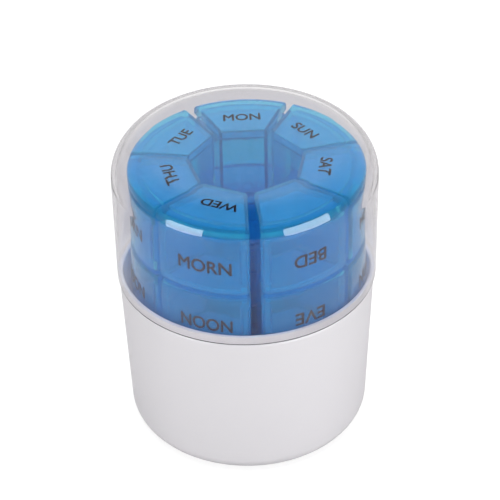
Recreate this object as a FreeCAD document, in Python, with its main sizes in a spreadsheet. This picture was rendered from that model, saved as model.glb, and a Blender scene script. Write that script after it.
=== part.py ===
import FreeCAD, Part
import math
import os
import Sketcher

# Travel pill organizer: a tapered cup and a clear lift-off cover round seven wedge-shaped day boxes.
# Each day box is a tray of four stacked compartments, each closed by its own hinged lid.
# Millimetres, +Z up, origin at the centre of the cup's underside, front towards -Y.

CELLS_PER_BOX = 4
CELL_NAMES = ("bedtime", "evening", "noon", "morning")

DIMENSIONS = {
    # whole object
    "total_height": 107.0,
    "cover_radius": 43.5,
    # clear cover
    "cover_wall": 1.5,
    "cover_shoulder": 12.0,
    "skirt_height": 57.2,
    "skirt_lead_in": 0.4,
    # cup
    "cup_wall": 1.3,
    "cup_foot_radius": 40.9,
    "cup_rim_radius": 42.9,
    "cup_rim_height": 57.0,
    "cup_corner": 6.0,
    "cup_inner_corner": 2.5,
    "cup_floor": 2.2,
    "cup_rim_edge": 0.5,
    "foot_recess": 0.7,
    "foot_recess_radius": 33.0,
    "neck_radius": 41.7,
    "neck_wall": 1.3,
    "neck_height": 59.8,
    "neck_edge": 0.4,
    "bead_proud": 0.2,
    "bead_height": 1.0,
    "bead_level": 58.5,
    # ring of day boxes
    "ring_shift_x": 0.6,
    "ring_shift_y": -0.5,
    "box_lift_off_floor": 0.2,
    "box_height": 96.8,
    "box_inner_flat": 17.3,
    "box_outer_radius": 38.6,
    "box_half_angle": 24.6,
    "side_inset": 0.2,
    "tray_front_radius": 35.4,
    "tray_wall": 1.2,
    "tray_inner_corner": 1.6,
    "tray_edge": 0.7,
    "end_cap": 3.2,
    "end_cap_edge": 2.2,
    # lids
    "lid_gap": 0.5,
    "lid_wall": 1.1,
    "lid_rest_gap": 0.1,
    "lid_edge": 2.0,
    "lid_corner": 2.4,
    # hinge of each lid
    "hinge_along": 36.55,
    "hinge_inset": 2.2,
    "hinge_rod_radius": 0.8,
    "knuckle_bore_radius": 0.95,
    "knuckle_radius": 1.35,
    "knuckle_end": 4.4,
    "knuckle_mouth": 1.2,
    "lug_start": 1.9,
    "lug_height": 1.8,
    "lug_half_width": 0.8,
    "lug_root": 33.8,
    "lug_shoulder": 35.2,
}

# spreadsheet formulas that follow from the dimensions
DERIVED = {
    "cell_pitch": "=(box_height - 2 * end_cap) / cell_count",
}

# how far from the wedge's exact side angle a rounded or inset corner may lie
SIDE_SLACK_DEGREES = 1.0

# day, direction the box faces (degrees from +X), upside down or not
DAY_BOXES = (
    ("mon", 92.8, False),
    ("tue", 146.8, False),
    ("thu", 197.2, False),
    ("wed", 246.4, False),
    ("fri", 300.2, True),
    ("sat", 349.8, False),
    ("sun", 40.3, False),
)


def make_sheet(doc):
    """Write the driving dimensions to a spreadsheet, one alias per row."""
    sheet = doc.addObject("Spreadsheet::Sheet", "dims")
    rows = dict(DIMENSIONS)
    rows["cell_count"] = CELLS_PER_BOX
    rows.update(DERIVED)
    for row, (alias, value) in enumerate(rows.items(), start=1):
        sheet.set(f"A{row}", alias)
        sheet.set(f"B{row}", str(value))
        sheet.setAlias(f"B{row}", alias)
    doc.recompute()
    return sheet


def origin_feature(body, role):
    """Return the body's own origin plane or axis that has this role."""
    return next(item for item in body.Origin.OriginFeatures if item.Role == role)


def new_body(doc, label):
    body = doc.addObject("PartDesign::Body", label)
    body.Label = label
    return body


def new_sketch(body, name, role, level=None, turn=None):
    """Attach a sketch to one of the body's origin planes, raised by `level` and turned by `turn`."""
    sketch = body.newObject("Sketcher::SketchObject", name)
    sketch.AttachmentSupport = [(origin_feature(body, role), "")]
    sketch.MapMode = "FlatFace"
    if level:
        sketch.setExpression("AttachmentOffset.Base.z", level)
    if turn:
        sketch.setExpression("AttachmentOffset.Rotation.Angle", turn)
    return sketch


def bind_point(sketch, geometry, end, name, x_text, y_text):
    """Hold one end of a line at two distances from the sketch's origin."""
    for kind, axis, text in (("DistanceX", "x", x_text), ("DistanceY", "y", y_text)):
        value = float(sketch.evalExpression(text))
        index = sketch.addConstraint(Sketcher.Constraint(kind, -1, 1, geometry, end, value))
        label = f"{name}_{axis}"
        sketch.renameConstraint(index, label)
        sketch.setExpression(f"Constraints.{label}", text)


def polygon_sketch(body, name, role, corners, level=None, turn=None):
    """Sketch a closed outline whose corners are pairs of expressions."""
    sketch = new_sketch(body, name, role, level, turn)
    points = []
    for x_text, y_text in corners:
        x_value = float(sketch.evalExpression(x_text))
        y_value = float(sketch.evalExpression(y_text))
        points.append(FreeCAD.Vector(x_value, y_value, 0))
    count = len(points)
    for index in range(count):
        sketch.addGeometry(Part.LineSegment(points[index], points[(index + 1) % count]), False)
    for index in range(count):
        sketch.addConstraint(Sketcher.Constraint("Coincident", index, 2, (index + 1) % count, 1))
    for index, (x_text, y_text) in enumerate(corners):
        bind_point(sketch, index, 1, f"corner_{index}", x_text, y_text)
    return sketch


def circle_sketch(body, name, role, centre, radius, level=None, turn=None):
    """Sketch one circle whose centre and radius are expressions."""
    sketch = new_sketch(body, name, role, level, turn)
    x_value = float(sketch.evalExpression(centre[0]))
    y_value = float(sketch.evalExpression(centre[1]))
    r_value = float(sketch.evalExpression(radius))
    up = FreeCAD.Vector(0, 0, 1)
    sketch.addGeometry(Part.Circle(FreeCAD.Vector(x_value, y_value, 0), up, r_value), False)
    index = sketch.addConstraint(Sketcher.Constraint("Radius", 0, r_value))
    sketch.renameConstraint(index, "radius")
    sketch.setExpression("Constraints.radius", radius)
    bind_point(sketch, 0, 3, "centre", centre[0], centre[1])
    return sketch


def bind_constraint(sketch, constraint, name, text):
    index = sketch.addConstraint(constraint)
    sketch.renameConstraint(index, name)
    sketch.setExpression(f"Constraints.{name}", text)


def sector_sketch(body, name, inset, inner, outer_radius, inner_is_flat, level=None):
    """Sketch a wedge about the ring's axis: two sides at the half angle, moved in by `inset`.

    The outer end is an arc about the axis, and the inner end is a flat or a second arc.
    """
    sketch = new_sketch(body, name, "XY_Plane", level)
    half_angle = math.radians(float(sketch.evalExpression("dims.box_half_angle")))
    inset_value = float(sketch.evalExpression(inset))
    inner_value = float(sketch.evalExpression(inner))
    outer_value = float(sketch.evalExpression(outer_radius))

    def side_point(along, side):
        x_value = along * math.cos(half_angle) + inset_value * math.sin(half_angle)
        y_value = along * math.sin(half_angle) - inset_value * math.cos(half_angle)
        return FreeCAD.Vector(x_value, side * y_value, 0)

    if inner_is_flat:
        start = (inner_value - inset_value * math.sin(half_angle)) / math.cos(half_angle)
    else:
        start = math.sqrt(inner_value**2 - inset_value**2)
    stop = math.sqrt(outer_value**2 - inset_value**2)
    inner_right, outer_right = side_point(start, -1), side_point(stop, -1)
    inner_left, outer_left = side_point(start, 1), side_point(stop, 1)
    origin = FreeCAD.Vector(0, 0, 0)
    up = FreeCAD.Vector(0, 0, 1)

    def arc(low, high, radius):
        circle = Part.Circle(origin, up, radius)
        return Part.ArcOfCircle(circle, math.atan2(low.y, low.x), math.atan2(high.y, high.x))

    right, left, outer_arc, inner_end = 0, 1, 2, 3
    sketch.addGeometry(Part.LineSegment(inner_right, outer_right), False)
    sketch.addGeometry(Part.LineSegment(inner_left, outer_left), False)
    sketch.addGeometry(arc(outer_right, outer_left, outer_value), False)
    if inner_is_flat:
        sketch.addGeometry(Part.LineSegment(inner_right, inner_left), False)
    else:
        sketch.addGeometry(arc(inner_right, inner_left, inner_value), False)
    for line, end in ((right, 1), (left, 2)):
        sketch.addConstraint(Sketcher.Constraint("Coincident", outer_arc, end, line, 2))
        sketch.addConstraint(Sketcher.Constraint("Coincident", inner_end, end, line, 1))
    sketch.addConstraint(Sketcher.Constraint("Coincident", outer_arc, 3, -1, 1))
    turn = Sketcher.Constraint("Angle", -1, 1, left, 1, half_angle)
    bind_constraint(sketch, turn, "half_angle", "dims.box_half_angle")
    turn = Sketcher.Constraint("Angle", right, 1, -1, 1, half_angle)
    bind_constraint(sketch, turn, "half_angle_right", "dims.box_half_angle")
    bind_constraint(sketch, Sketcher.Constraint("Distance", -1, 1, left, inset_value), "inset", inset)
    away = Sketcher.Constraint("Distance", -1, 1, right, inset_value)
    bind_constraint(sketch, away, "inset_right", inset)
    bind_constraint(sketch, Sketcher.Constraint("Radius", outer_arc, outer_value), "outer", outer_radius)
    if inner_is_flat:
        sketch.addConstraint(Sketcher.Constraint("Vertical", inner_end))
        away = Sketcher.Constraint("DistanceX", -1, 1, inner_end, 1, inner_value)
        bind_constraint(sketch, away, "inner", inner)
    else:
        sketch.addConstraint(Sketcher.Constraint("Coincident", inner_end, 3, -1, 1))
        bind_constraint(sketch, Sketcher.Constraint("Radius", inner_end, inner_value), "inner", inner)
    return sketch


def pad(body, sketch, name, length):
    feature = body.newObject("PartDesign::Pad", name)
    feature.Profile = sketch
    feature.setExpression("Length", length)
    body.Document.recompute()
    return feature


def pocket(body, sketch, name, length):
    """Cut upwards from the sketch, and make sure that material really went."""
    before = body.Shape.Volume
    feature = body.newObject("PartDesign::Pocket", name)
    feature.Profile = sketch
    feature.Reversed = True
    feature.setExpression("Length", length)
    body.Document.recompute()
    if not feature.Shape.Volume < before:
        raise RuntimeError(f"{body.Label}: {name} removes nothing")
    return feature


def revolve(body, sketch, name):
    feature = body.newObject("PartDesign::Revolution", name)
    feature.Profile = sketch
    feature.ReferenceAxis = (sketch, ["V_Axis"])
    feature.Angle = 360.0
    body.Document.recompute()
    return feature


def repeat_up(body, originals, name):
    """Repeat features once for every compartment."""
    pattern = body.newObject("PartDesign::LinearPattern", name)
    pattern.Originals = originals
    pattern.Direction = (origin_feature(body, "Z_Axis"), [""])
    pattern.setExpression("Length", "dims.cell_pitch * (dims.cell_count - 1)")
    pattern.setExpression("Occurrences", "dims.cell_count")
    body.Tip = pattern
    body.Document.recompute()
    return pattern


def pick_edges(shape, wanted):
    """Names of the edges whose ends and middle all satisfy `wanted`."""
    names = []
    for number, edge in enumerate(shape.Edges, start=1):
        middle = edge.valueAt((edge.FirstParameter + edge.LastParameter) / 2)
        points = [vertex.Point for vertex in edge.Vertexes] + [middle]
        if all(wanted(point) for point in points):
            names.append(f"Edge{number}")
    return names


def fillet(body, name, radius, wanted):
    """Round the edges of the body's tip that `wanted` picks."""
    base = body.Tip
    edges = pick_edges(base.Shape, wanted)
    if not edges:
        raise RuntimeError(f"{body.Label}: {name} finds no edge")
    feature = body.newObject("PartDesign::Fillet", name)
    feature.Base = (base, edges)
    feature.setExpression("Radius", radius)
    body.Document.recompute()
    return feature


def near(value, target, tolerance=0.01):
    return abs(value - target) < tolerance


def ring_at(radius, height):
    """A test for points on one circle about the Z axis."""
    def test(point):
        return near(math.hypot(point.x, point.y), radius) and near(point.z, height)
    return test


def make_cup(doc, sheet):
    """Tapered white cup with a stepped-in neck that the cover slides over."""
    body = new_body(doc, "cup")
    neck_inside = "dims.neck_radius - dims.neck_wall"
    floor_radius = "dims.cup_foot_radius - dims.cup_wall"
    bead_radius = "dims.neck_radius + dims.bead_proud"
    corners = [
        ("0", "dims.foot_recess"),
        ("dims.foot_recess_radius", "dims.foot_recess"),
        ("dims.foot_recess_radius", "0"),
        ("dims.cup_foot_radius", "0"),
        ("dims.cup_rim_radius", "dims.cup_rim_height"),
        ("dims.neck_radius", "dims.cup_rim_height"),
        ("dims.neck_radius", "dims.bead_level - dims.bead_height / 2"),
        (bead_radius, "dims.bead_level - dims.bead_height / 4"),
        (bead_radius, "dims.bead_level + dims.bead_height / 4"),
        ("dims.neck_radius", "dims.bead_level + dims.bead_height / 2"),
        ("dims.neck_radius", "dims.neck_height"),
        (neck_inside, "dims.neck_height"),
        (floor_radius, "dims.cup_floor"),
        ("0", "dims.cup_floor"),
    ]
    profile = polygon_sketch(body, "cup_profile", "XZ_Plane", corners)
    revolve(body, profile, "cup_shell")
    fillet(body, "cup_bottom_corner", "dims.cup_corner", ring_at(sheet.cup_foot_radius, 0))
    inner_radius = sheet.cup_foot_radius - sheet.cup_wall
    fillet(body, "cup_floor_corner", "dims.cup_inner_corner", ring_at(inner_radius, sheet.cup_floor))
    rim = ring_at(sheet.cup_rim_radius, sheet.cup_rim_height)
    fillet(body, "cup_rim_edge", "dims.cup_rim_edge", rim)

    def on_neck_top(point):
        return near(point.z, sheet.neck_height)

    fillet(body, "neck_edges", "dims.neck_edge", on_neck_top)
    return body


def make_cover(doc, sheet):
    """Clear cover with a rounded shoulder, whose skirt slides over the cup's neck."""
    body = new_body(doc, "clear_cover")
    inner_radius = "dims.cover_radius - dims.cover_wall"
    ceiling = "dims.total_height - dims.cover_wall"
    corners = [
        (inner_radius, "dims.skirt_height"),
        ("dims.cover_radius", "dims.skirt_height"),
        ("dims.cover_radius", "dims.total_height"),
        ("0", "dims.total_height"),
        ("0", ceiling),
        (inner_radius, ceiling),
    ]
    profile = polygon_sketch(body, "cover_profile", "XZ_Plane", corners)
    revolve(body, profile, "cover_shell")
    outer = ring_at(sheet.cover_radius, sheet.total_height)
    fillet(body, "shoulder_outside", "dims.cover_shoulder", outer)
    inside = sheet.cover_radius - sheet.cover_wall
    inner = ring_at(inside, sheet.total_height - sheet.cover_wall)
    fillet(body, "shoulder_inside", "dims.cover_shoulder - dims.cover_wall", inner)
    fillet(body, "skirt_lead_in", "dims.skirt_lead_in", ring_at(inside, sheet.skirt_height))
    return body


def on_wedge_side(sheet, point):
    """Whether a point lies at either side of the wedge."""
    angle = math.degrees(abs(math.atan2(point.y, point.x)))
    return angle > sheet.box_half_angle - SIDE_SLACK_DEGREES


def make_tray(doc, sheet, label):
    """One day's tray: a wedge with two end caps, and between them four compartments open outwards."""
    body = new_body(doc, label)
    block = sector_sketch(body, "block_plan", "dims.side_inset", "dims.box_inner_flat",
                          "dims.box_outer_radius", True)
    pad(body, block, "block", "dims.box_height")
    round_tray_block(body, sheet)
    recess = sector_sketch(body, "recess_plan", "dims.side_inset / 2", "dims.tray_front_radius",
                           "dims.box_outer_radius + dims.tray_wall", False, level="dims.end_cap")
    pocket(body, recess, "lid_recess", "dims.box_height - 2 * dims.end_cap")
    hollow = sector_sketch(body, "hollow_plan", "dims.side_inset + dims.tray_wall",
                           "dims.box_inner_flat + dims.tray_wall", "dims.box_outer_radius", True,
                           level="dims.end_cap + dims.tray_wall / 2")
    first = pocket(body, hollow, "compartment", "dims.cell_pitch - dims.tray_wall")
    repeat_up(body, [first], "compartments")
    for name, level in (("lowest", "dims.tray_wall"), ("highest", "dims.box_height - dims.end_cap")):
        space = sector_sketch(body, f"{name}_space_plan", "dims.side_inset + dims.tray_wall",
                              "dims.box_inner_flat + dims.tray_wall", "dims.lug_root", True, level=level)
        pocket(body, space, f"{name}_space", "dims.end_cap - dims.tray_wall")
    make_tray_hinge(body)
    return body


def round_tray_block(body, sheet):
    """Round the wedge's inner corners, the outer edges of its ends, then its remaining end edges."""
    def on_inner_corner(point):
        return near(point.x, sheet.box_inner_flat) and on_wedge_side(sheet, point)

    def on_end(point):
        return near(point.z, 0) or near(point.z, sheet.box_height)

    def on_outer_end(point):
        return on_end(point) and near(math.hypot(point.x, point.y), sheet.box_outer_radius)

    def on_other_end(point):
        start_of_cap_edge = sheet.box_outer_radius - sheet.end_cap_edge
        on_cap_edge = near(math.hypot(point.x, point.y), start_of_cap_edge)
        return on_end(point) and (not on_cap_edge or on_wedge_side(sheet, point))

    fillet(body, "inner_corners", "dims.tray_inner_corner", on_inner_corner)
    fillet(body, "end_cap_edges", "dims.end_cap_edge", on_outer_end)
    fillet(body, "end_edges", "dims.tray_edge", on_other_end)


def make_tray_hinge(body):
    """Two lugs and a moulded rod beside each compartment's opening."""
    lug_outline = [
        ("dims.lug_root", "-dims.side_inset - dims.tray_wall / 2"),
        ("dims.lug_shoulder", "-dims.side_inset - dims.tray_wall / 2"),
        ("dims.lug_shoulder", "-dims.hinge_inset + dims.lug_half_width"),
        ("dims.hinge_along", "-dims.hinge_inset + dims.lug_half_width"),
        ("dims.hinge_along", "-dims.hinge_inset - dims.lug_half_width"),
        ("dims.lug_root", "-dims.hinge_inset - dims.lug_half_width"),
    ]
    lowest = "dims.end_cap + dims.lug_start"
    highest = "dims.end_cap + dims.cell_pitch - dims.lug_start - dims.lug_height"
    features = []
    for name, level in (("lower", lowest), ("upper", highest)):
        sketch = polygon_sketch(body, f"{name}_lug_plan", "XY_Plane", lug_outline, level,
                                turn="dims.box_half_angle")
        features.append(pad(body, sketch, f"{name}_lug", "dims.lug_height"))
    centre = ("dims.hinge_along", "-dims.hinge_inset")
    sketch = circle_sketch(body, "rod_plan", "XY_Plane", centre, "dims.hinge_rod_radius",
                           level=lowest, turn="dims.box_half_angle")
    features.append(pad(body, sketch, "hinge_rod", "dims.cell_pitch - 2 * dims.lug_start"))
    repeat_up(body, features, "hinge_rods")


def make_lid(doc, sheet, label):
    """One compartment's lid: a dished plate with a rounded rim and a snap-on hinge knuckle."""
    body = new_body(doc, label)
    height = "(dims.cell_pitch - dims.lid_gap)"
    rim = "dims.tray_front_radius + dims.lid_rest_gap"
    block = sector_sketch(body, "lid_plan", "dims.side_inset", rim, "dims.box_outer_radius", False)
    pad(body, block, "lid_block", height)
    lid_height = sheet.cell_pitch - sheet.lid_gap

    def on_side_end(point):
        return (near(point.z, 0) or near(point.z, lid_height)) and on_wedge_side(sheet, point)

    def on_outer_face(point):
        return near(math.hypot(point.x, point.y), sheet.box_outer_radius)

    fillet(body, "lid_corners", "dims.lid_corner", on_side_end)
    fillet(body, "lid_edges", "dims.lid_edge", on_outer_face)
    inside = sector_sketch(body, "dish_plan", "dims.side_inset + dims.lid_wall",
                           "dims.tray_front_radius - dims.lid_wall",
                           "dims.box_outer_radius - dims.lid_wall", False, level="dims.lid_wall")
    pocket(body, inside, "dish", f"{height} - 2 * dims.lid_wall")
    make_lid_knuckle(body, height)
    return body


def make_lid_knuckle(body, height):
    """A C-shaped sleeve along the hinge side, which snaps over the tray's rod."""
    centre = ("dims.hinge_along", "-dims.hinge_inset")
    turn = "dims.box_half_angle"
    length = f"{height} - 2 * dims.knuckle_end"
    sleeve = circle_sketch(body, "knuckle_plan", "XY_Plane", centre, "dims.knuckle_radius",
                           "dims.knuckle_end", turn)
    pad(body, sleeve, "knuckle", length)
    bore = circle_sketch(body, "bore_plan", "XY_Plane", centre, "dims.knuckle_bore_radius",
                         "dims.knuckle_end", turn)
    pocket(body, bore, "knuckle_bore", length)
    mouth = [
        ("dims.hinge_along - 2 * dims.knuckle_radius", "-dims.hinge_inset - dims.knuckle_mouth / 2"),
        ("dims.hinge_along", "-dims.hinge_inset - dims.knuckle_mouth / 2"),
        ("dims.hinge_along", "-dims.hinge_inset + dims.knuckle_mouth / 2"),
        ("dims.hinge_along - 2 * dims.knuckle_radius", "-dims.hinge_inset + dims.knuckle_mouth / 2"),
    ]
    slot = polygon_sketch(body, "mouth_plan", "XY_Plane", mouth, "dims.knuckle_end", turn)
    pocket(body, slot, "knuckle_mouth", length)


def box_placement(sheet, facing, upside_down):
    """Stand a box on the cup's floor, facing outwards, turned over where asked."""
    level = sheet.cup_floor + sheet.box_lift_off_floor
    half_turn = math.radians(facing / 2)
    if upside_down:
        level += sheet.box_height
        rotation = FreeCAD.Rotation(FreeCAD.Vector(math.cos(half_turn), math.sin(half_turn), 0), 180)
    else:
        rotation = FreeCAD.Rotation(FreeCAD.Vector(0, 0, 1), facing)
    return FreeCAD.Placement(FreeCAD.Vector(sheet.ring_shift_x, sheet.ring_shift_y, level), rotation)


def make_day_box(doc, sheet, day, facing, upside_down):
    """A tray and its four lids, in place."""
    placement = box_placement(sheet, facing, upside_down)
    tray = make_tray(doc, sheet, f"tray_{day}")
    tray.Placement = placement
    pieces = [tray]
    for index, cell in enumerate(CELL_NAMES):
        lid = make_lid(doc, sheet, f"lid_{day}_{cell}")
        level = sheet.end_cap + index * sheet.cell_pitch + sheet.lid_gap / 2
        rise = FreeCAD.Vector(0, 0, level)
        lid.Placement = placement.multiply(FreeCAD.Placement(rise, FreeCAD.Rotation()))
        pieces.append(lid)
    return pieces


def check_document(doc, pieces):
    """Stop unless every object computed and every piece is one valid solid."""
    for item in doc.Objects:
        if {"Invalid", "Error"} & set(item.State):
            raise RuntimeError(f"{item.Name} failed: {item.State}")
    for piece in pieces:
        shape = piece.Shape
        if shape.isNull() or not shape.isValid() or len(shape.Solids) != 1:
            raise RuntimeError(f"{piece.Label} isn't one valid solid")


def main():
    doc = FreeCAD.newDocument("pill_organizer")
    sheet = make_sheet(doc)
    pieces = [make_cup(doc, sheet), make_cover(doc, sheet)]
    for day, facing, upside_down in DAY_BOXES:
        pieces.extend(make_day_box(doc, sheet, day, facing, upside_down))
    doc.recompute()
    check_document(doc, pieces)
    os.makedirs("parts", exist_ok=True)
    for piece in pieces:
        piece.Shape.exportStep(os.path.join("parts", f"{piece.Label}.step"))
    print(f"wrote {len(pieces)} parts")


main()
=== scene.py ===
import bpy
import math
from mathutils import Matrix, Vector


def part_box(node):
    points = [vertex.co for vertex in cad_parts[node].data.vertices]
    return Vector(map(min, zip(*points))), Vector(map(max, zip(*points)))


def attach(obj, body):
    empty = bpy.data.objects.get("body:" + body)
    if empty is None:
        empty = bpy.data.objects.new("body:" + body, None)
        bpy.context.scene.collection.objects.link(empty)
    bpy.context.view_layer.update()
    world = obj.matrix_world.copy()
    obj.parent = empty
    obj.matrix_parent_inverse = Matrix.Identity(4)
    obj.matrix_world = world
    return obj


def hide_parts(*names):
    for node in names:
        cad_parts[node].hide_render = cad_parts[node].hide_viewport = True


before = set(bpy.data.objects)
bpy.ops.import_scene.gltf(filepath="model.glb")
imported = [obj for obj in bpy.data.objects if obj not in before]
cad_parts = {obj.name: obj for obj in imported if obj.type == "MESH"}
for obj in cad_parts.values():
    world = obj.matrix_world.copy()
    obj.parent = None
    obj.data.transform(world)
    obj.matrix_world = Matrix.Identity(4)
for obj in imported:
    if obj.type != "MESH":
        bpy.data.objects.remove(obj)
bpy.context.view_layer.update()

# Looks of the travel pill organizer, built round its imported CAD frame. Metres, +Z up, front -Y.

MM = 0.001
scene = bpy.context.scene

# how finely the turned shells are drawn, and the angle from which an edge stays sharp
LATHE_STEPS = 180
ARC_STEPS = 14
SHARP_ANGLE = math.radians(35)
ON_AXIS = 1e-9

# the cover: its wall and shoulder are the CAD part's, and its skirt ends a little higher and
# rounder than there, so that the seam is one even line
COVER_WALL = 1.5 * MM
COVER_SHOULDER = 12.0 * MM
SEAM_GAP = 0.25 * MM
SKIRT_EDGE = 0.55 * MM

# the cup: all as in the CAD part but the rounding of the rim and of the neck's end; the bead
# round the CAD part's neck is left out
CUP_WALL = 1.3 * MM
CUP_FOOT_RADIUS = 40.9 * MM
CUP_CORNER = 6.0 * MM
CUP_INNER_CORNER = 2.5 * MM
CUP_FLOOR = 2.2 * MM
CUP_RIM_LEVEL = 57.0 * MM
CUP_RIM_EDGE = 0.8 * MM
FOOT_RECESS = 0.7 * MM
FOOT_RECESS_RADIUS = 33.0 * MM
NECK_RADIUS = 41.7 * MM
NECK_WALL = 1.3 * MM
NECK_EDGE = 0.3 * MM

# the ring of day boxes, as in the CAD part
RING_SHIFT = Vector((0.6 * MM, -0.5 * MM, 0))
OUTER = 38.6 * MM
END_CAP = 3.2 * MM
box_low, box_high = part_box("tray_mon")
BOX_HEIGHT = box_high.z - box_low.z

# which way each day box faces, in degrees from +X, and whether it stands upside down
DAY_BOXES = {
    "mon": (92.8, False),
    "tue": (146.8, False),
    "thu": (197.2, False),
    "wed": (246.4, False),
    "fri": (300.2, True),
    "sat": (349.8, False),
    "sun": (40.3, False),
}

# the words of a box's cells, from its own foot up, and each word's width as a share of the
# built-in typeface's
CELL_WORDS = {
    "bedtime": ("BED", 1.02),
    "evening": ("EVE", 1.08),
    "noon": ("NOON", 0.86),
    "morning": ("MORN", 0.94),
}
CELL_PITCH = (BOX_HEIGHT - 2 * END_CAP) / len(CELL_WORDS)

# printing: letter heights, how far the days' names lie from the ring's axis, the ink's
# thickness, and copies of each word, moved a little, which make its strokes bolder
WORD_HEIGHT = 4.8 * MM
DAY_WORD_HEIGHT = 4.0 * MM
DAY_WORD_REACH = 25.8 * MM
CAPITAL_SHARE = 0.73     # a capital letter's height as a share of the typeface's size
LABEL_DEPTH = 0.04 * MM
BOLD = 0.10 * MM
BOLD_SHIFTS = ((-BOLD, 0), (BOLD, 0), (0, -BOLD), (0, BOLD))
# how far sideways on its box a day's words sit from the middle
WORD_SHIFTS = {"wed": 1.8 * MM}


# ---------------------------------------------------------------- materials

def new_material(name):
    material = bpy.data.materials.new(name)
    material.use_nodes = True
    material.node_tree.nodes.clear()
    return material, material.node_tree


def add(tree, kind, **values):
    """Add a node; values set its sockets by name, with _ for a space."""
    node = tree.nodes.new(kind)
    for key, value in values.items():
        node.inputs[key.replace("_", " ")].default_value = value
    return node


def object_noise(tree, scale, detail=3.0):
    """Noise in object coordinates, so that it stays put as a piece moves."""
    place = tree.nodes.new("ShaderNodeTexCoord")
    noise = add(tree, "ShaderNodeTexNoise", Scale=scale, Detail=detail)
    tree.links.new(place.outputs["Object"], noise.inputs["Vector"])
    return noise


def remap(tree, source, low, high):
    """Carry a value from the range 0 to 1 over to the range low to high."""
    node = tree.nodes.new("ShaderNodeMapRange")
    node.inputs["To Min"].default_value = low
    node.inputs["To Max"].default_value = high
    tree.links.new(source, node.inputs["Value"])
    return node.outputs["Result"]


def bump(tree, source, distance, strength):
    """A surface normal that follows the source as relief."""
    node = add(tree, "ShaderNodeBump", Distance=distance, Strength=strength)
    tree.links.new(source, node.inputs["Height"])
    return node.outputs["Normal"]


def tint_mix(tree, factor, first, second):
    """A colour that runs from the first to the second with the factor."""
    node = tree.nodes.new("ShaderNodeMix")
    node.data_type = "RGBA"
    node.inputs["A"].default_value = (*first, 1)
    node.inputs["B"].default_value = (*second, 1)
    tree.links.new(factor, node.inputs["Factor"])
    return node.outputs["Result"]


def let_lamps_through(tree, shader, colour):
    """Show the shader, but let the lamps' light through the piece, tinted."""
    path = tree.nodes.new("ShaderNodeLightPath")
    clear = add(tree, "ShaderNodeBsdfTransparent", Color=(*colour, 1))
    mix = tree.nodes.new("ShaderNodeMixShader")
    tree.links.new(path.outputs["Is Shadow Ray"], mix.inputs[0])
    tree.links.new(shader, mix.inputs[1])
    tree.links.new(clear.outputs[0], mix.inputs[2])
    return mix.outputs[0]


def finish_material(tree, shader):
    output = tree.nodes.new("ShaderNodeOutputMaterial")
    tree.links.new(shader, output.inputs["Surface"])


def white_plastic():
    """Satin moulded polypropylene with a very fine texture."""
    material, tree = new_material("white_plastic")
    shader = add(tree, "ShaderNodeBsdfPrincipled", IOR=1.49)
    cloud = object_noise(tree, 25.0)
    grain = object_noise(tree, 1800.0, 4.0)
    colour = tint_mix(tree, cloud.outputs["Fac"], (0.70, 0.69, 0.71), (0.725, 0.71, 0.735))
    tree.links.new(colour, shader.inputs["Base Color"])
    tree.links.new(remap(tree, cloud.outputs["Fac"], 0.36, 0.46), shader.inputs["Roughness"])
    tree.links.new(bump(tree, grain.outputs["Fac"], 0.02 * MM, 0.3), shader.inputs["Normal"])
    finish_material(tree, shader.outputs[0])
    return material


def clear_plastic():
    """Polished polystyrene, clear, with faint handling haze."""
    material, tree = new_material("clear_plastic")
    shader = add(tree, "ShaderNodeBsdfPrincipled", IOR=1.42)
    shader.inputs["Transmission Weight"].default_value = 1.0
    haze = object_noise(tree, 60.0)
    colour = tint_mix(tree, haze.outputs["Fac"], (0.91, 0.90, 0.91), (0.93, 0.92, 0.93))
    tree.links.new(colour, shader.inputs["Base Color"])
    tree.links.new(remap(tree, haze.outputs["Fac"], 0.01, 0.04), shader.inputs["Roughness"])
    finish_material(tree, let_lamps_through(tree, shader.outputs[0], (0.95, 0.94, 0.945)))
    return material


def blue_plastic():
    """Translucent blue polypropylene: glossy outside, with a little milkiness within."""
    milky_share = 0.18
    material, tree = new_material("blue_plastic")
    cloud = object_noise(tree, 90.0)
    clear_colour = tint_mix(tree, cloud.outputs["Fac"], (0.13, 0.75, 0.85), (0.17, 0.79, 0.88))
    milky_colour = tint_mix(tree, cloud.outputs["Fac"], (0.03, 0.38, 0.72), (0.05, 0.42, 0.76))
    roughness = remap(tree, cloud.outputs["Fac"], 0.05, 0.14)
    see_through = add(tree, "ShaderNodeBsdfPrincipled", IOR=1.31)
    see_through.inputs["Transmission Weight"].default_value = 1.0
    milky = add(tree, "ShaderNodeBsdfPrincipled", IOR=1.40)
    tree.links.new(clear_colour, see_through.inputs["Base Color"])
    tree.links.new(milky_colour, milky.inputs["Base Color"])
    for shader in (see_through, milky):
        tree.links.new(roughness, shader.inputs["Roughness"])
    mix = tree.nodes.new("ShaderNodeMixShader")
    mix.inputs[0].default_value = milky_share
    tree.links.new(see_through.outputs[0], mix.inputs[1])
    tree.links.new(milky.outputs[0], mix.inputs[2])
    finish_material(tree, let_lamps_through(tree, mix.outputs[0], (0.52, 0.84, 0.95)))
    return material


def printed_ink():
    """Dark pad-printed ink, slightly uneven."""
    material, tree = new_material("printed_ink")
    shader = add(tree, "ShaderNodeBsdfPrincipled", Roughness=0.5)
    patch = object_noise(tree, 700.0)
    colour = tint_mix(tree, patch.outputs["Fac"], (0.010, 0.006, 0.007), (0.03, 0.018, 0.02))
    tree.links.new(colour, shader.inputs["Base Color"])
    finish_material(tree, shader.outputs[0])
    return material


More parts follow.
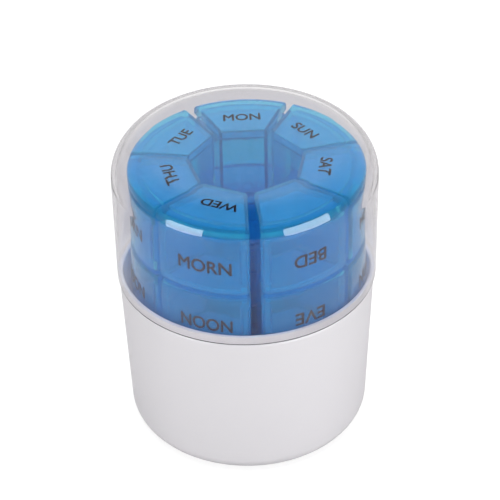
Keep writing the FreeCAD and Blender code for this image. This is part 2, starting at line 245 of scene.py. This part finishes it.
def pale_floor():
    """A floor that is near white to the camera's own rays and pale grey to all others."""
    material, tree = new_material("pale_floor")
    seen = add(tree, "ShaderNodeBsdfPrincipled", Roughness=0.6, Emission_Strength=0.80)
    seen.inputs["Emission Color"].default_value = (1, 1, 1, 1)
    lit = add(tree, "ShaderNodeBsdfPrincipled", Roughness=0.6)
    patch = object_noise(tree, 4.0)
    seen_colour = tint_mix(tree, patch.outputs["Fac"], (0.23, 0.23, 0.23), (0.25, 0.25, 0.25))
    lit_colour = tint_mix(tree, patch.outputs["Fac"], (0.52, 0.51, 0.52), (0.55, 0.54, 0.55))
    tree.links.new(seen_colour, seen.inputs["Base Color"])
    tree.links.new(lit_colour, lit.inputs["Base Color"])
    path = tree.nodes.new("ShaderNodeLightPath")
    mix = tree.nodes.new("ShaderNodeMixShader")
    tree.links.new(path.outputs["Is Camera Ray"], mix.inputs[0])
    tree.links.new(lit.outputs[0], mix.inputs[1])
    tree.links.new(seen.outputs[0], mix.inputs[2])
    finish_material(tree, mix.outputs[0])
    return material


# ---------------------------------------------------------------- turned shells

def new_piece(name, vertices, faces, material, smooth=True):
    """A mesh piece of one material, in the scene."""
    mesh = bpy.data.meshes.new(name)
    mesh.from_pydata(vertices, [], faces)
    mesh.validate()
    mesh.polygons.foreach_set("use_smooth", [smooth] * len(mesh.polygons))
    mesh.materials.append(material)
    piece = bpy.data.objects.new(name, mesh)
    scene.collection.objects.link(piece)
    return piece


def arc(centre_r, centre_z, radius, start, stop):
    """Points of an arc in the profile's plane, from start to stop in degrees."""
    points = []
    for step in range(ARC_STEPS + 1):
        angle = math.radians(start + (stop - start) * step / ARC_STEPS)
        points.append((centre_r + radius * math.cos(angle), centre_z + radius * math.sin(angle)))
    return points


def turned(name, profile, material):
    """Turn a closed profile, which starts and ends on the axis, about +Z."""
    vertices = []
    rings = []
    for radius, height in profile:
        if radius < ON_AXIS:
            rings.append([len(vertices)])
            vertices.append((0, 0, height))
            continue
        rings.append(list(range(len(vertices), len(vertices) + LATHE_STEPS)))
        for step in range(LATHE_STEPS):
            angle = 2 * math.pi * step / LATHE_STEPS
            vertices.append((radius * math.cos(angle), radius * math.sin(angle), height))
    faces = []
    for low, high in zip(rings, rings[1:]):
        for step in range(LATHE_STEPS):
            following = (step + 1) % LATHE_STEPS
            if len(low) == 1:
                faces.append((low[0], high[following], high[step]))
            elif len(high) == 1:
                faces.append((low[step], low[following], high[0]))
            else:
                faces.append((low[step], low[following], high[following], high[step]))
    piece = new_piece(name, vertices, faces, material)
    piece.data.set_sharp_from_angle(angle=SHARP_ANGLE)
    return piece


def make_cover(material):
    """The clear cover: its inside down to the skirt's end, then its outside back up."""
    low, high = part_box("clear_cover")
    outer = high.y
    inner = outer - COVER_WALL
    skirt_end = low.z + SEAM_GAP
    edge_level = skirt_end + SKIRT_EDGE
    shoulder_centre = outer - COVER_SHOULDER, high.z - COVER_SHOULDER
    profile = [(0, high.z - COVER_WALL)]
    profile += arc(*shoulder_centre, COVER_SHOULDER - COVER_WALL, 90, 0)
    profile += arc(inner + SKIRT_EDGE, edge_level, SKIRT_EDGE, 180, 270)
    profile += arc(outer - SKIRT_EDGE, edge_level, SKIRT_EDGE, 270, 360)
    profile += arc(*shoulder_centre, COVER_SHOULDER, 0, 90)
    profile += [(0, high.z)]
    cover = turned("cover_shell", profile, material)
    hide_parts("clear_cover")
    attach(cover, "cover")


def make_cup(material):
    """The cup: its underside, its outside up to the rim and the neck, then its inside down."""
    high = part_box("cup")[1]
    rim_radius = high.y
    taper = math.atan2(rim_radius - CUP_FOOT_RADIUS, CUP_RIM_LEVEL)
    lean = math.degrees(taper)
    corner_radius = CUP_FOOT_RADIUS - CUP_CORNER * (1 - math.sin(taper)) / math.cos(taper)
    inner_foot = CUP_FOOT_RADIUS - CUP_WALL - CUP_INNER_CORNER
    neck_inside = NECK_RADIUS - NECK_WALL
    neck_level = high.z - NECK_EDGE
    rim_centre = rim_radius - CUP_RIM_EDGE, CUP_RIM_LEVEL - CUP_RIM_EDGE
    profile = [(0, FOOT_RECESS), (FOOT_RECESS_RADIUS, FOOT_RECESS), (FOOT_RECESS_RADIUS, 0)]
    profile += arc(corner_radius, CUP_CORNER, CUP_CORNER, -90, -lean)
    profile += arc(*rim_centre, CUP_RIM_EDGE, -lean, 90)
    profile += [(NECK_RADIUS, CUP_RIM_LEVEL)]
    profile += arc(NECK_RADIUS - NECK_EDGE, neck_level, NECK_EDGE, 0, 90)
    profile += arc(neck_inside + NECK_EDGE, neck_level, NECK_EDGE, 90, 180)
    profile += arc(inner_foot, CUP_FLOOR + CUP_INNER_CORNER, CUP_INNER_CORNER, 0, -90)
    profile += [(0, CUP_FLOOR)]
    cup = turned("cup_shell", profile, material)
    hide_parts("cup")
    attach(cup, "cup")


def colour_boxes(material):
    """Give the trays and lids, which stay the CAD part's own, their material."""
    for node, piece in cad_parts.items():
        if node.startswith(("tray", "lid")):
            piece.data.materials.clear()
            piece.data.materials.append(material)


# ---------------------------------------------------------------- printed words

def word_mesh(name, word, height, material, stretch=1.0):
    """A flat word in the plain built-in typeface, centred on the origin in the XY plane."""
    curve = bpy.data.curves.new(name, "FONT")
    curve.body = word
    curve.size = height / CAPITAL_SHARE
    curve.align_x = "CENTER"
    curve.extrude = LABEL_DEPTH / 2
    temporary = bpy.data.objects.new(name, curve)
    scene.collection.objects.link(temporary)
    bpy.context.view_layer.update()
    evaluated = temporary.evaluated_get(bpy.context.evaluated_depsgraph_get())
    mesh = bpy.data.meshes.new_from_object(evaluated)
    bpy.data.objects.remove(temporary)
    bpy.data.curves.remove(curve)
    vertices = []
    faces = []
    for shift_x, shift_y in BOLD_SHIFTS:
        start = len(vertices)
        for vertex in mesh.vertices:
            x, y, z = vertex.co
            vertices.append(Vector((x * stretch + shift_x, y + shift_y - height / 2, z)))
        faces += [[start + index for index in polygon.vertices] for polygon in mesh.polygons]
    bpy.data.meshes.remove(mesh)
    return new_piece(name, vertices, faces, material, smooth=False)


def box_frame(day):
    """The transform from a day box's own frame, x outwards and foot at 0, to the part's frame."""
    facing, upside_down = DAY_BOXES[day]
    low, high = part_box(f"tray_{day}")
    turn = Matrix.Rotation(math.radians(facing), 4, "Z")
    foot = RING_SHIFT + Vector((0, 0, high.z if upside_down else low.z))
    if upside_down:
        turn = turn @ Matrix.Rotation(math.pi, 4, "X")
    return Matrix.Translation(foot) @ turn


def place_word(piece, day, spot):
    """Bend a flat word on to a day box; spot maps its points to the box's own frame."""
    to_part = box_frame(day)
    for vertex in piece.data.vertices:
        vertex.co = to_part @ spot(vertex.co)
    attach(piece, f"box_{day}")


def on_lid(level, shift):
    """The spot for a cell's word, wrapped round its lid at a level above the box's foot."""
    def spot(point):
        angle = (point.x + shift) / OUTER
        reach = OUTER + LABEL_DEPTH + point.z
        return Vector((reach * math.cos(angle), reach * math.sin(angle), level + point.y))
    return spot


def on_top(shift):
    """The spot for a day's name, flat on the box's top with its letter tops outwards."""
    def spot(point):
        return Vector((DAY_WORD_REACH + point.y, shift - point.x, BOX_HEIGHT + LABEL_DEPTH + point.z))
    return spot


def print_words(day, material):
    """The words of one day box: one on each of its lids and the day's name on its top."""
    shift = WORD_SHIFTS.get(day, 0)
    for index, (cell, (text, stretch)) in enumerate(CELL_WORDS.items()):
        word = word_mesh(f"word_{day}_{cell}", text, WORD_HEIGHT, material, stretch)
        place_word(word, day, on_lid(END_CAP + (index + 0.5) * CELL_PITCH, shift))
    word = word_mesh(f"word_{day}", day.upper(), DAY_WORD_HEIGHT, material)
    place_word(word, day, on_top(shift))


# ---------------------------------------------------------------- floor, light, camera

FLOOR_HALF = 3.0
# the world's strength at the front and at the back
FRONT_LIGHT = 0.10
BACK_LIGHT = 0.98

# the camera that the picture was taken with, as fitted to it
CAMERA_PLACE = Vector((0, -0.4792, 0.4146))
CAMERA_AIM = Vector((1.25 * MM, 4.75 * MM, 59.8 * MM))
CAMERA_ROLL = math.radians(-1.06)
LENS = 127.6             # in millimetres of film, as is the sensor
SENSOR = 36.0
CLIP_END = 20.0

# enough bounces for a ray to cross the cover and several boxes, in and out
BOUNCES = 18
CLEAR_BOUNCES = 32


def make_floor(material):
    corners = [(x * FLOOR_HALF, y * FLOOR_HALF, 0) for x, y in ((-1, -1), (1, -1), (1, 1), (-1, 1))]
    floor = new_piece("floor", corners, [(0, 1, 2, 3)], material, smooth=False)


def area_light(name, size, power, place, aim, mirrored=False):
    """A soft lamp, aimed at a point: it either lights surfaces or is only mirrored in them."""
    light = bpy.data.lights.new(name, "AREA")
    light.shape = "RECTANGLE"
    light.size, light.size_y = size
    light.energy = power
    lamp = bpy.data.objects.new(name, light)
    lamp.location = place
    lamp.rotation_mode = "QUATERNION"
    lamp.rotation_quaternion = (Vector(aim) - Vector(place)).to_track_quat("-Z", "Y")
    lamp.visible_glossy = mirrored
    lamp.visible_diffuse = not mirrored
    lamp.visible_transmission = False
    scene.collection.objects.link(lamp)


def make_world():
    """Light from all round, dark at the front and pale at the back."""
    world = bpy.data.worlds.new("studio")
    world.use_nodes = True
    tree = world.node_tree
    place = tree.nodes.new("ShaderNodeTexCoord")
    split = tree.nodes.new("ShaderNodeSeparateXYZ")
    tree.links.new(place.outputs["Generated"], split.inputs[0])
    level = remap(tree, split.outputs["Y"], FRONT_LIGHT, BACK_LIGHT)
    tree.links.new(level, tree.nodes["Background"].inputs["Strength"])
    tree.nodes["Background"].inputs["Color"].default_value = (1, 1, 1, 1)
    scene.world = world


def make_camera():
    camera_data = bpy.data.cameras.new("camera")
    camera_data.sensor_width = SENSOR
    camera_data.lens = LENS
    camera_data.clip_end = CLIP_END
    camera = bpy.data.objects.new("camera", camera_data)
    camera.location = CAMERA_PLACE
    camera.rotation_mode = "QUATERNION"
    look = (CAMERA_AIM - CAMERA_PLACE).to_track_quat("-Z", "Y")
    camera.rotation_quaternion = look @ Matrix.Rotation(CAMERA_ROLL, 4, "Z").to_quaternion()
    scene.collection.objects.link(camera)
    scene.camera = camera


# ---------------------------------------------------------------- the whole scene

make_cover(clear_plastic())
make_cup(white_plastic())
colour_boxes(blue_plastic())
ink = printed_ink()
for day in DAY_BOXES:
    print_words(day, ink)

make_floor(pale_floor())
make_world()
area_light("overhead", (2.0, 2.0), 34.0, (0, 0.2, 1.8), (0, 0, 0.06))
area_light("fill_front", (1.2, 0.8), 17.0, (0.4, -1.5, 0.8), (0, 0, 0.05))
area_light("fill_left", (0.8, 0.8), 6.6, (-1.4, -0.3, 0.6), (0, 0, 0.05))
area_light("fill_right", (0.8, 0.8), 3.9, (1.4, -0.3, 0.6), (0, 0, 0.05))
area_light("softbox_left", (0.55, 0.34), 6.4, (-0.75, -0.65, 0.20), (0, 0, 0.09), mirrored=True)
area_light("softbox_right", (0.72, 0.38), 8.6, (0.75, -0.65, 0.22), (0, 0, 0.09), mirrored=True)
make_camera()
scene.view_settings.view_transform = "Standard"
scene.cycles.transparent_max_bounces = CLEAR_BOUNCES
scene.cycles.max_bounces = BOUNCES
scene.cycles.transmission_bounces = BOUNCES
